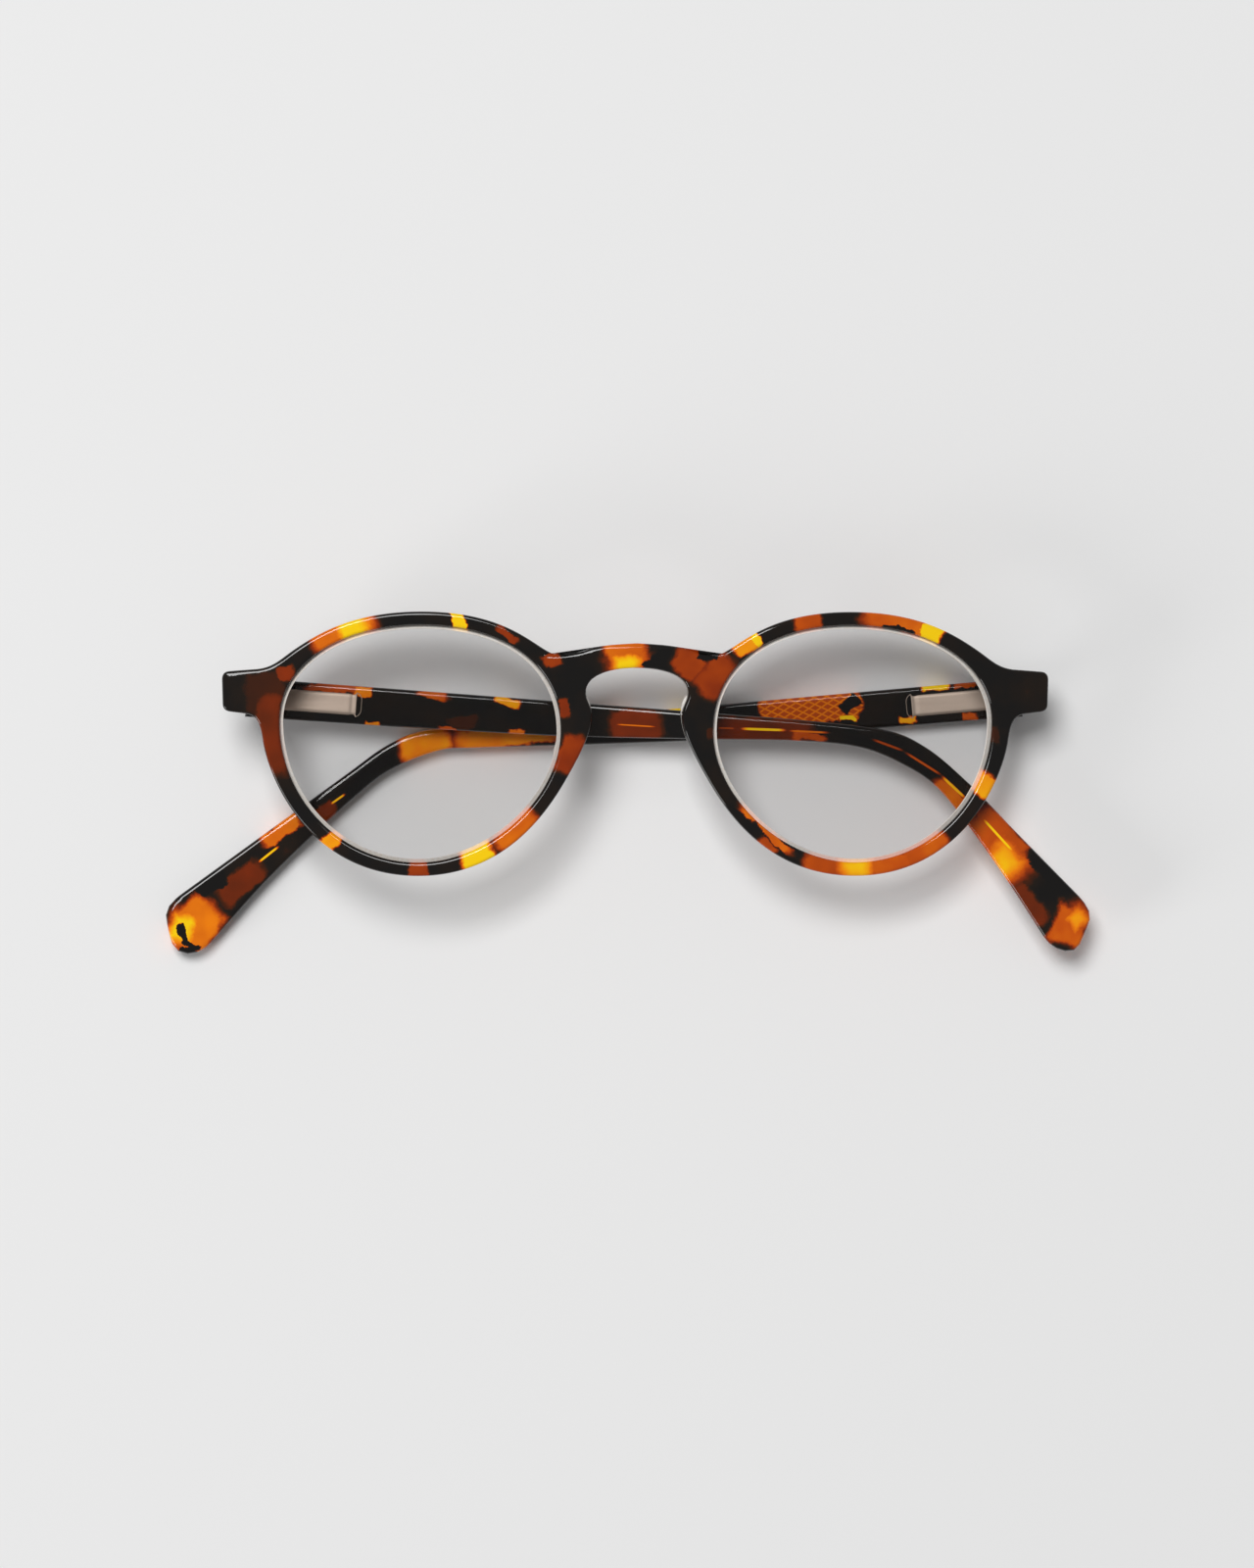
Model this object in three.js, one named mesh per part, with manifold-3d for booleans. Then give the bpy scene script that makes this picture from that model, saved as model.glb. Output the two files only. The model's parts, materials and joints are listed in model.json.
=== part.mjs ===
// Reading glasses of tortoiseshell acetate, lying front up on their two folded temples.
// Frame of the drawing: +X to the wearer's left, +Y up the lenses, +Z out of the front. Millimetres.
// The wearer's right temple (at -X) is folded first and lies against the front; the left one is below it.
import * as THREE from 'three';
import { mergeVertices } from 'three/addons/utils/BufferGeometryUtils.js';
import Module from 'manifold-3d';

// Front
const FRONT_HALF_WIDTH = 64.1;
const FRONT_THICKNESS = 4.0;
const FRONT_BEVEL = 0.5;
const FACE_CURVE = 3.5; // how far the bridge stands forward of the end pieces
const LENS_CENTRE_X = 33.3;
const LENS_TOP = 18.4;
const LENS_BOTTOM = -18.3;
const LENS_NASAL = 21.5;
const LENS_TEMPORAL = -21.9;
const GROOVE_DEPTH = 0.7;
const GROOVE_HALF_HEIGHT = 0.75;
const LENS_CLEARANCE = 0.08;

// Hinge: origin of each side's drawing, on the axis of the screw
const HINGE_X = 57.8;
const HINGE_Y = 7.3;
const HINGE_DROP = 3.0; // axis behind the back of the end piece
const KNUCKLE_RADIUS = 1.35;
const KNUCKLE_HALF_HEIGHT = 0.8;
const EYE_HEIGHT = 1.3;
const KNUCKLE_GAP = 0.06;
const SCREW_RADIUS = 0.5;
const BORE_RADIUS = 0.58;
const SCREW_HEAD_RADIUS = 0.95;
const SCREW_HEAD_HEIGHT = 0.5;
const PLATE_OUT = 2.4; // plate past the axis, away from the bridge
const PLATE_IN = 1.3;
const PLATE_HALF_HEIGHT = 2.5;
const PLATE_THICKNESS = 1.2;
const PLATE_STANDOFF = 0.3; // plate's face behind the end piece
const FIT = 0.08; // gap round a piece that is set in another

// Temples
const TEMPLE_THICKNESS = 3.7;
const TEMPLE_BEVEL = 0.55;
const INNER_FACE = -2.5; // temple's inner face below the hinge axis
const BUTT_END = -2.85;
const TEMPLE_TOP = 2.95;
const FOLD_TILT = THREE.MathUtils.degToRad(2.1);

// Spring hinge
const HOUSING_START = 1.5;
const HOUSING_END = 15.3;
const HOUSING_HALF_HEIGHT = 2.05;
const HOUSING_PROUD = 0.12;
const HOUSING_DEPTH = 2.3;
const SHOULDER_START = 4.5;
const SHOULDER_END = 5.0;
const CHAMBER_END = 12.6;
const CHAMBER_HALF_HEIGHT = 1.3;
const CHAMBER_HALF_DEPTH = 0.72;
const STEM_Z = -3.68;
const STEM_RADIUS = 0.32;
const STEM_END = 11.6;
const SPRING_RADIUS = 0.52;
const SPRING_WIRE = 0.12;
const SPRING_TURNS = 7;
const NUT_START = 10.6;
const NUT_THICKNESS = 0.8;
const NUT_RADIUS = 0.62;

// Core wire
const WIRE_HALF_HEIGHT = 0.7;
const WIRE_THICKNESS = 1.0;
const WIRE_START = 15.7;

const wasm = await Module();
wasm.setup();

function solid(geometry) {
  const bare = geometry.index ? geometry.clone() : geometry;
  bare.deleteAttribute('normal');
  bare.deleteAttribute('uv');
  const merged = mergeVertices(bare, 1e-5);
  const vertProperties = new Float32Array(merged.attributes.position.array);
  const triVerts = new Uint32Array(merged.index.array);
  return new wasm.Manifold(new wasm.Mesh({ numProp: 3, vertProperties, triVerts }));
}

function geometryOf(manifold) {
  const mesh = manifold.getMesh();
  const geometry = new THREE.BufferGeometry();
  geometry.setAttribute('position', new THREE.BufferAttribute(mesh.vertProperties, 3));
  geometry.setIndex(new THREE.BufferAttribute(mesh.triVerts, 1));
  return geometry;
}

function cut(body, ...tools) {
  return geometryOf(tools.reduce((left, tool) => left.subtract(solid(tool)), solid(body)));
}

function join(body, ...others) {
  return geometryOf(others.reduce((sum, other) => sum.add(solid(other)), solid(body)));
}

function box(x0, x1, y0, y1, z0, z1) {
  const geometry = new THREE.BoxGeometry(x1 - x0, y1 - y0, z1 - z0);
  return geometry.translate((x0 + x1) / 2, (y0 + y1) / 2, (z0 + z1) / 2);
}

function rodAlongY(radius, y0, y1, sides = 24) {
  return new THREE.CylinderGeometry(radius, radius, y1 - y0, sides).translate(0, (y0 + y1) / 2, 0);
}

function rodAlongX(radius, x0, x1, sides = 16) {
  const rod = new THREE.CylinderGeometry(radius, radius, x1 - x0, sides).rotateZ(Math.PI / 2);
  return rod.translate((x0 + x1) / 2, 0, STEM_Z);
}

// A flat outline as a plate with bevelled edges, its faces at z0 and z1, no wider than the outline.
function plate(shape, z0, z1, bevel, curveSegments, bevelSegments = 1) {
  const geometry = new THREE.ExtrudeGeometry(shape, {
    depth: z1 - z0 - 2 * bevel,
    bevelEnabled: bevel > 0,
    bevelThickness: bevel,
    bevelSize: bevel,
    bevelOffset: -bevel,
    bevelSegments,
    curveSegments,
  });
  return geometry.translate(0, 0, z0 + bevel);
}

// Reflects a piece to the other side, with its faces kept outward.
function mirrored(geometry) {
  const flipped = mergeVertices(geometry.clone().deleteAttribute('normal').deleteAttribute('uv'), 1e-6);
  flipped.scale(-1, 1, 1);
  const index = flipped.index.array;
  for (let i = 0; i < index.length; i += 3) [index[i], index[i + 1]] = [index[i + 1], index[i]];
  return flipped;
}

// Gives flat work the gentle curve of the front across the face.
function bentToFace(geometry) {
  const position = geometry.attributes.position;
  for (let i = 0; i < position.count; i++) {
    const share = position.getX(i) / FRONT_HALF_WIDTH;
    position.setZ(i, position.getZ(i) + FACE_CURVE * (1 - share * share));
  }
  return geometry;
}

// The lens opening in four quarters. Fullness is how far each quarter swells towards its corner;
// 0.552 is a round quarter. grown is how far the outline lies outside the edge that shows.
function lensPath(path, side, grown) {
  const centre = side * LENS_CENTRE_X;
  const nasal = centre - side * (LENS_NASAL + grown);
  const temporal = centre - side * (LENS_TEMPORAL - grown);
  const top = LENS_TOP + grown;
  const bottom = LENS_BOTTOM - grown;
  const nasalY = 2.0;
  const temporalY = 3.5;
  const low = centre + side * 0.5;
  const quarter = (x0, y0, x1, y1, fullness, startsLevel) => {
    const dx = (x1 - x0) * fullness;
    const dy = (y1 - y0) * fullness;
    if (startsLevel) path.bezierCurveTo(x0 + dx, y0, x1, y1 - dy, x1, y1);
    else path.bezierCurveTo(x0, y0 + dy, x1 - dx, y1, x1, y1);
  };
  path.moveTo(centre, top);
  quarter(centre, top, temporal, temporalY, 0.584, true);
  quarter(temporal, temporalY, low, bottom, 0.552, false);
  quarter(low, bottom, nasal, nasalY, 0.503, true);
  quarter(nasal, nasalY, centre, top, 0.613, false);
  return path;
}

// The front's outline: one half from the top of the bridge round the end piece to the underside
// of the bridge, then the same steps backwards on the other side.
function frontOutline() {
  const half = [
    ['line', [4.0, 15.3]],
    ['curve', [8.0, 14.9], [9.0, 13.75], [12.0, 13.75]],
    ['curve', [15.2, 13.75], [18.5, 20.45], [33.3, 20.45]],
    ['curve', [43.5, 20.45], [49.0, 17.3], [53.2, 14.4]],
    ['curve', [55.3, 12.9], [56.2, 11.9], [58.6, 11.6]],
    ['line', [62.9, 11.28]],
    ['curve', [63.7, 11.24], [64.1, 10.8], [64.1, 10.0]],
    ['line', [64.0, 6.3]],
    ['curve', [64.0, 5.5], [63.6, 5.1], [62.8, 5.0]],
    ['line', [60.4, 4.7]],
    ['curve', [58.6, 4.4], [58.2, 3.2], [57.8, 0.6]],
    ['curve', [56.9, -5.5], [50.5, -20.4], [33.8, -20.4]],
    ['curve', [21.0, -20.4], [14.5, -11.5], [11.3, -6.1]],
    ['curve', [8.9, -2.0], [7.0, 1.6], [7.0, 4.5]],
    ['curve', [7.0, 6.0], [7.9, 6.6], [7.9, 8.0]],
    ['curve', [7.9, 10.4], [4.6, 11.75], [0, 11.75]],
  ];
  const shape = new THREE.Shape();
  shape.moveTo(0, 15.55);
  for (const [kind, ...points] of half) {
    const there = points.map(([x, y]) => [-x, y]);
    if (kind === 'line') shape.lineTo(...there[0]);
    else shape.bezierCurveTo(...there.flat());
  }
  const ends = [[0, 15.55], ...half.map((step) => step.at(-1))];
  for (let i = half.length - 1; i >= 0; i--) {
    const [kind, ...points] = half[i];
    if (kind === 'line') shape.lineTo(...ends[i]);
    else shape.bezierCurveTo(...points[1], ...points[0], ...ends[i]);
  }
  return shape;
}

function frontFrame() {
  const outline = frontOutline();
  outline.holes = [-1, 1].map((side) => lensPath(new THREE.Path(), side, 0));
  const blank = plate(outline, 0, FRONT_THICKNESS, FRONT_BEVEL, 10);
  const middle = FRONT_THICKNESS / 2;
  const grooves = [-1, 1].map((side) => {
    const rim = lensPath(new THREE.Shape(), side, GROOVE_DEPTH);
    return plate(rim, middle - GROOVE_HALF_HEIGHT, middle + GROOVE_HALF_HEIGHT, GROOVE_HALF_HEIGHT - 0.1, 10);
  });
  const grooved = bentToFace(cut(blank, ...grooves));
  const pockets = [-1, 1].map((side) => {
    const top = HINGE_DROP + PLATE_THICKNESS + FIT - PLATE_STANDOFF;
    const pocket = box(-PLATE_OUT - FIT, PLATE_IN + FIT, -PLATE_HALF_HEIGHT - FIT, PLATE_HALF_HEIGHT + FIT, 0, top);
    return placedOnSide(side < 0 ? pocket : mirrored(pocket), side);
  });
  return cut(grooved, ...pockets);
}

function lens(side) {
  const middle = FRONT_THICKNESS / 2;
  const half = GROOVE_HALF_HEIGHT - LENS_CLEARANCE;
  const rim = lensPath(new THREE.Shape(), side, GROOVE_DEPTH - LENS_CLEARANCE);
  return bentToFace(plate(rim, middle - half, middle + half, half - 0.1, 10));
}

// A pad glued behind the nasal rim, thickest low down where it bears on the nose.
function nosePad() {
  const outline = new THREE.Shape();
  outline.moveTo(9.0, 8.0);
  outline.bezierCurveTo(10.2, 8.0, 10.9, 7.0, 11.0, 5.4);
  outline.bezierCurveTo(11.2, 2.4, 12.9, 0.2, 12.9, -2.0);
  outline.bezierCurveTo(12.9, -3.3, 11.7, -4.0, 10.7, -3.2);
  outline.bezierCurveTo(8.6, -1.4, 7.1, 1.6, 7.0, 4.8);
  outline.bezierCurveTo(6.9, 6.8, 7.8, 8.0, 9.0, 8.0);
  return plate(outline, 0.2, FACE_CURVE - 0.22, 0.8, 7, 3);
}

// Puts a piece drawn about the hinge axis on its side of the front.
function placedOnSide(geometry, side) {
  const slope = SLOPES[side < 0 ? 'right' : 'left'];
  return geometry.rotateZ(side * slope).translate(side * HINGE_X, HINGE_Y, -HINGE_DROP);
}

function hingePlate() {
  const top = HINGE_DROP + PLATE_THICKNESS - PLATE_STANDOFF;
  const face = HINGE_DROP - PLATE_STANDOFF;
  const base = box(-PLATE_OUT, PLATE_IN, -PLATE_HALF_HEIGHT, PLATE_HALF_HEIGHT, face, top);
  const near = KNUCKLE_HALF_HEIGHT + KNUCKLE_GAP;
  const far = near + EYE_HEIGHT;
  const eyes = [[near, far], [-far, -near]].flatMap(([y0, y1]) => [
    rodAlongY(KNUCKLE_RADIUS, y0, y1),
    box(-0.95, 0.95, y0, y1, 0, face + 0.1),
  ]);
  return cut(join(base, ...eyes), rodAlongY(BORE_RADIUS, -4, 4));
}

function hingeScrew() {
  const far = KNUCKLE_HALF_HEIGHT + KNUCKLE_GAP + EYE_HEIGHT;
  const profile = [
    [0, -far],
    [SCREW_RADIUS, -far],
    [SCREW_RADIUS, far + KNUCKLE_GAP],
    [SCREW_HEAD_RADIUS, far + KNUCKLE_GAP],
    [SCREW_HEAD_RADIUS, far + SCREW_HEAD_HEIGHT],
    [0, far + SCREW_HEAD_HEIGHT],
  ].map(([x, y]) => new THREE.Vector2(x, y));
  const slotDepth = 0.25;
  const slot = box(-1.2, 1.2, far + SCREW_HEAD_HEIGHT - slotDepth, far + 1, -0.13, 0.13);
  return cut(new THREE.LatheGeometry(profile, 24), slot);
}

// The sliding half of the hinge: knuckle, neck, guide block and the stem that carries the spring.
function carriage() {
  const guideHalf = CHAMBER_HALF_HEIGHT - FIT;
  const guideDepth = CHAMBER_HALF_DEPTH - FIT;
  const knuckle = rodAlongY(KNUCKLE_RADIUS, -KNUCKLE_HALF_HEIGHT, KNUCKLE_HALF_HEIGHT);
  const low = STEM_Z - guideDepth;
  const neck = box(-0.9, 1.2, -KNUCKLE_HALF_HEIGHT, KNUCKLE_HALF_HEIGHT, low, -0.4);
  const guide = box(1.1, 4.0, -guideHalf, guideHalf, low, STEM_Z + guideDepth);
  const stem = rodAlongX(STEM_RADIUS, 3.8, STEM_END);
  return cut(join(knuckle, neck, guide, stem), rodAlongY(BORE_RADIUS, -4, 4));
}

// The housing's outline from above: square towards the hinge, round at the far end.
function housingOutline(start, end, half) {
  const round = 1.3;
  const shape = new THREE.Shape();
  shape.moveTo(start, -half);
  shape.lineTo(end - round, -half);
  shape.absarc(end - round, -half + round, round, -Math.PI / 2, 0);
  shape.absarc(end - round, half - round, round, 0, Math.PI / 2);
  shape.lineTo(start, half);
  return shape;
}

function springHousing() {
  const top = INNER_FACE + HOUSING_PROUD;
  const outline = housingOutline(HOUSING_START, HOUSING_END, HOUSING_HALF_HEIGHT);
  const block = plate(outline, top - HOUSING_DEPTH, top, 0, 6);
  const floor = STEM_Z - CHAMBER_HALF_DEPTH;
  const roof = STEM_Z + CHAMBER_HALF_DEPTH;
  const half = CHAMBER_HALF_HEIGHT;
  const guideway = box(0, SHOULDER_START, -half, half, floor, roof);
  const chamber = box(SHOULDER_END, CHAMBER_END, -half, half, floor, roof);
  const stemHole = rodAlongX(STEM_RADIUS + FIT, 4, 6);
  return cut(block, guideway, chamber, stemHole);
}

class Helix extends THREE.Curve {
  constructor(start, end, radius, turns) {
    super();
    Object.assign(this, { start, end, radius, turns });
  }

  getPoint(t, target = new THREE.Vector3()) {
    const angle = 2 * Math.PI * this.turns * t;
    const x = this.start + (this.end - this.start) * t;
    return target.set(x, this.radius * Math.cos(angle), STEM_Z + this.radius * Math.sin(angle));
  }
}

function spring() {
  const margin = SPRING_WIRE + FIT;
  const path = new Helix(SHOULDER_END + margin, NUT_START - margin, SPRING_RADIUS, SPRING_TURNS);
  const section = new THREE.Shape();
  section.absarc(0, 0, SPRING_WIRE, 0, 2 * Math.PI);
  return new THREE.ExtrudeGeometry(section, {
    steps: SPRING_TURNS * 10,
    curveSegments: 3,
    extrudePath: path,
    bevelEnabled: false,
  });
}

function stopNut() {
  const nut = rodAlongX(NUT_RADIUS, NUT_START, NUT_START + NUT_THICKNESS, 6);
  return cut(nut, rodAlongX(STEM_RADIUS + FIT / 2, 0, 20));
}

// The two temples have the same straight bar, and ear pieces bent a little differently by hand.
// Each edge is a straight run, then a bend through these points. The tip runs from the end of the
// lower edge to the end of the upper one.
const TAILS = {
  right: {
    upper: [[96.2, 2.45], [103.3, 0.25], [110.7, -5.0], [119.0, -12.35]],
    lower: [[93.2, -0.65], [100.4, -2.9], [105.8, -6.0], [111.2, -11.7], [117.2, -18.9], [124.0, -27.8]],
    tip: [
      ['curve', [125.1, -29.2], [126.0, -29.7], [127.3, -29.9]],
      ['curve', [128.8, -30.2], [129.6, -29.6], [130.0, -28.4]],
      ['line', [131.0, -25.4]],
      ['curve', [131.5, -23.8], [130.7, -22.7], [129.0, -21.1]],
    ],
  },
  left: {
    upper: [[91.0, 3.0], [96.9, 1.2], [103.4, -2.6], [113.4, -8.6]],
    lower: [[89.0, -0.35], [96.8, -2.7], [102.9, -6.6], [110.3, -12.3], [118.4, -19.0], [126.6, -26.7]],
    tip: [
      ['curve', [127.9, -27.9], [129.0, -28.6], [130.5, -28.6]],
      ['curve', [132.0, -28.6], [133.1, -27.8], [133.4, -25.9]],
      ['line', [133.8, -22.9]],
      ['curve', [133.9, -21.1], [132.7, -20.1], [130.5, -18.8]],
    ],
  },
};
const SLOPES = { right: THREE.MathUtils.degToRad(4.35), left: THREE.MathUtils.degToRad(5.1) };

function asPoints(pairs) {
  return pairs.map(([x, y]) => new THREE.Vector2(x, y));
}

function templeOutline(name) {
  const { upper, lower, tip } = TAILS[name];
  const shape = new THREE.Shape();
  shape.moveTo(BUTT_END, TEMPLE_TOP);
  shape.lineTo(BUTT_END, -3.15);
  shape.lineTo(20, -2.95);
  shape.splineThru(asPoints([[45.7, -2.45], [66, -1.4], [83, -0.4], ...lower]));
  for (const [kind, ...points] of tip) {
    if (kind === 'line') shape.lineTo(...points[0]);
    else shape.bezierCurveTo(...points.flat());
  }
  shape.splineThru(asPoints([...upper].reverse().concat([[82, TEMPLE_TOP]])));
  return shape;
}

// The middle line of a temple, which the core wire follows to the root of the paddle.
function middleLine(name) {
  const { upper, lower } = TAILS[name];
  const bend = upper.map(([x, y], i) => [(x + lower[i + 1][0]) / 2, (y + lower[i + 1][1]) / 2]);
  const straight = [[WIRE_START, -0.05], [45, 0.25], [66, 0.8], [82, 1.27]];
  return new THREE.SplineCurve(asPoints([...straight, ...bend]));
}

function wireOutline(name, halfHeight, reach) {
  const line = middleLine(name);
  const steps = 36;
  const edge = (sign) => Array.from({ length: steps + 1 }, (_, i) => {
    const t = i / steps;
    const along = line.getTangent(t);
    const overrun = t === 0 ? -reach : t === 1 ? reach : 0;
    return line.getPoint(t).addScaledVector(along, overrun)
      .add(new THREE.Vector2(-along.y, along.x).multiplyScalar(sign * halfHeight));
  });
  return new THREE.Shape([...edge(-1), ...edge(1).reverse()]);
}

function coreWire(name) {
  const middle = INNER_FACE - TEMPLE_THICKNESS / 2;
  const half = WIRE_THICKNESS / 2;
  return plate(wireOutline(name, WIRE_HALF_HEIGHT, 0), middle - half, middle + half, 0, 1);
}

function temple(name) {
  const outer = INNER_FACE - TEMPLE_THICKNESS;
  const bar = plate(templeOutline(name), outer, INNER_FACE, TEMPLE_BEVEL, 6);
  const pocketFloor = INNER_FACE + HOUSING_PROUD - HOUSING_DEPTH - FIT;
  const outline = housingOutline(HOUSING_START - 8, HOUSING_END + FIT, HOUSING_HALF_HEIGHT + FIT);
  const pocket = plate(outline, pocketFloor, INNER_FACE + 1, 0, 6);
  const middle = INNER_FACE - TEMPLE_THICKNESS / 2;
  const half = WIRE_THICKNESS / 2 + FIT;
  const channel = plate(wireOutline(name, WIRE_HALF_HEIGHT + FIT, 0.6), middle - half, middle + half, 0, 1);
  return cut(bar, pocket, channel);
}

function material(color, roughness, metalness = 0) {
  return new THREE.MeshStandardMaterial({ color, roughness, metalness });
}

const ACETATE = () => material(0x4a2412, 0.12);
const LENS = () => {
  const clear = material(0xdfe3e2, 0.05);
  clear.transparent = true;
  clear.opacity = 0.35;
  return clear;
};
const PAD = () => material(0xd9c7a6, 0.2);
const SATIN_GOLD = () => material(0xb29b89, 0.35, 1);
const STEEL = () => material(0xa9a9a6, 0.3, 1);
const GOLD_CORE = () => material(0xc98f2e, 0.3, 1);

function named(name, geometry, finish) {
  const mesh = new THREE.Mesh(geometry, finish);
  mesh.name = name;
  return mesh;
}

function sideGroup(name, side) {
  const handed = (geometry) => (side < 0 ? geometry : mirrored(geometry));
  const onFront = new THREE.Group();
  onFront.position.set(side * HINGE_X, HINGE_Y, -HINGE_DROP);
  onFront.rotation.z = side * SLOPES[name];
  onFront.add(named(`${name}_front_hinge_plate`, handed(hingePlate()), STEEL()));
  onFront.add(named(`${name}_hinge_screw`, handed(hingeScrew()), STEEL()));
  const folded = new THREE.Group();
  folded.rotation.y = -FOLD_TILT;
  folded.add(named(`${name}_hinge_carriage`, handed(carriage()), STEEL()));
  folded.add(named(`${name}_hinge_spring`, handed(spring()), STEEL()));
  folded.add(named(`${name}_spring_stop_nut`, handed(stopNut()), STEEL()));
  folded.add(named(`${name}_spring_housing`, handed(springHousing()), SATIN_GOLD()));
  folded.add(named(`${name}_temple`, handed(temple(name)), ACETATE()));
  folded.add(named(`${name}_core_wire`, handed(coreWire(name)), GOLD_CORE()));
  onFront.add(folded);
  return onFront;
}

const glasses = new THREE.Group();
glasses.add(named('front_frame', frontFrame(), ACETATE()));
for (const [name, side] of [['right', -1], ['left', 1]]) {
  glasses.add(named(`${name}_lens`, lens(side), LENS()));
  const pad = side < 0 ? mirrored(nosePad()) : nosePad();
  glasses.add(named(`${name}_nose_pad`, pad, PAD()));
  glasses.add(sideGroup(name, side));
}

// Laid down on the left temple's outer face, centred over the origin.
const laidDown = new THREE.Group();
laidDown.add(glasses);
laidDown.updateMatrixWorld(true);
const leftTemple = glasses.getObjectByName('left_temple');
const faceNormal = new THREE.Vector3(0, 0, 1).transformDirection(leftTemple.matrixWorld);
glasses.quaternion.setFromUnitVectors(faceNormal, new THREE.Vector3(0, 0, 1));
laidDown.updateMatrixWorld(true);
const bounds = new THREE.Box3().setFromObject(laidDown, true);
const centre = bounds.getCenter(new THREE.Vector3());
glasses.position.set(-centre.x, -centre.y, -bounds.min.z);

export default laidDown;
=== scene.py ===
import json
import math

import bmesh
import bpy
import numpy as np
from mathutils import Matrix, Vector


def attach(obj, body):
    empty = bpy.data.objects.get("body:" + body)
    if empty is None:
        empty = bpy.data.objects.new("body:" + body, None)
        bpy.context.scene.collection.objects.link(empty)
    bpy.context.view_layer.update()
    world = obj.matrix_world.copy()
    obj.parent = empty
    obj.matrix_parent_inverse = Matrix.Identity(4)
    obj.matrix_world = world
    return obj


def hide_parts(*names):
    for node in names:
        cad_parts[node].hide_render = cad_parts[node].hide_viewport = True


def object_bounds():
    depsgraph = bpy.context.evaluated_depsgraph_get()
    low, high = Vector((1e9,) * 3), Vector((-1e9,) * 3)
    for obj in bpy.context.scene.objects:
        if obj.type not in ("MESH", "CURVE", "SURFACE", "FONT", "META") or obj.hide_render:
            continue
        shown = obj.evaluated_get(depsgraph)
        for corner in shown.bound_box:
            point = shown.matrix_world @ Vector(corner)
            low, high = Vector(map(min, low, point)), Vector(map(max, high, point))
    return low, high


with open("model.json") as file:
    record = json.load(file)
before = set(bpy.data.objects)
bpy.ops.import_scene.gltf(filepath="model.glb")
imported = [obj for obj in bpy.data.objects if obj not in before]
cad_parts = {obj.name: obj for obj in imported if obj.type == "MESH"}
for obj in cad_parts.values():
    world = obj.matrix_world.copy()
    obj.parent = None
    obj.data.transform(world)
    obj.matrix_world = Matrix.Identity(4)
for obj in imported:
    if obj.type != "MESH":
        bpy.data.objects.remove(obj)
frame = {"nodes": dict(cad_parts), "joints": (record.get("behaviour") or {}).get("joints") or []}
cad_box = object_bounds()

# ---------------------------------------------------------------------------------------------
# The view, the floor and the light. The folded glasses lie front up on a pale sheet, looked at
# straight down, under a large soft light from the upper left.
low, high = cad_box
middle = (low + high) / 2
EYE_HEIGHT = 1.0
VIEW_LENGTH = 0.2424
SENSOR = 36.0
FRONT_BELOW_TOP = 0.002

camera_data = bpy.data.cameras.new("camera")
camera_data.sensor_fit = "AUTO"
camera_data.sensor_width = SENSOR
camera_data.lens = SENSOR * EYE_HEIGHT / VIEW_LENGTH
camera_data.clip_start = 0.01
camera = bpy.data.objects.new("camera", camera_data)
camera.location = (middle.x, middle.y, high.z - FRONT_BELOW_TOP + EYE_HEIGHT)
bpy.context.scene.collection.objects.link(camera)
bpy.context.scene.camera = camera
bpy.context.scene.view_settings.view_transform = "Standard"


def principled(name, **values):
    """A material with one Principled shader, its sockets set by name."""
    made = bpy.data.materials.new(name)
    made.use_nodes = True
    shader = made.node_tree.nodes["Principled BSDF"]
    for socket, value in values.items():
        shader.inputs[socket.replace("_", " ")].default_value = value
    return made, made.node_tree, shader


FLOOR_HALF = 3.0
floor_mesh = bpy.data.meshes.new("floor")
floor_corners = FLOOR_HALF * np.array([(-1, -1, 0), (1, -1, 0), (1, 1, 0), (-1, 1, 0)])
floor_mesh.from_pydata(floor_corners.tolist(), [], [(0, 1, 2, 3)])
floor_finish, _, _ = principled("white_paper", Base_Color=(0.83, 0.83, 0.83, 1), Roughness=0.9)
floor_mesh.materials.append(floor_finish)
floor = bpy.data.objects.new("floor", floor_mesh)
bpy.context.scene.collection.objects.link(floor)


def soft_light(name, place, size, power):
    """A square area light at place, its face turned along the line from there to the glasses."""
    data = bpy.data.lights.new(name, "AREA")
    data.size = size
    data.energy = power
    light = bpy.data.objects.new(name, data)
    light.location = place
    aim = middle - light.location
    light.rotation_euler = aim.to_track_quat("-Z", "Y").to_euler()
    bpy.context.scene.collection.objects.link(light)


soft_light("window_upper_left", (-0.42, 0.85, 2.4), 1.0, 46.5)
soft_light("panel_lower_left", (-1.3, -0.7, 0.55), 0.6, 8.0)
world = bpy.data.worlds.new("studio")
world.use_nodes = True
world.node_tree.nodes["Background"].inputs["Color"].default_value = (1, 1, 1, 1)
world.node_tree.nodes["Background"].inputs["Strength"].default_value = 0.23
bpy.context.scene.world = world

# ---------------------------------------------------------------------------------------------
# The front frame: one piece of 4 mm tortoiseshell acetate, milled to the two lens openings, the
# keyhole bridge and the short end pieces, then gently curved across the face, with its edges rounded
# and polished. The two temple screws fix its own axes: x across it, y up it and z out of its face.
FRONT_HALF_WIDTH = 64.1
FACE_CURVE = 3.5
FRONT_THICKNESS = 4.0
FRONT_EDGE = 0.5
LENS_CENTRE = 33.3
MM = 0.001
HINGE_HEIGHT = 7.3
HINGE_BEHIND = 3.0
joints = {joint["name"]: joint for joint in frame["joints"]}


def unit(vector):
    """The vector divided by its own length."""
    return np.asarray(vector, float) / np.linalg.norm(vector)


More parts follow.
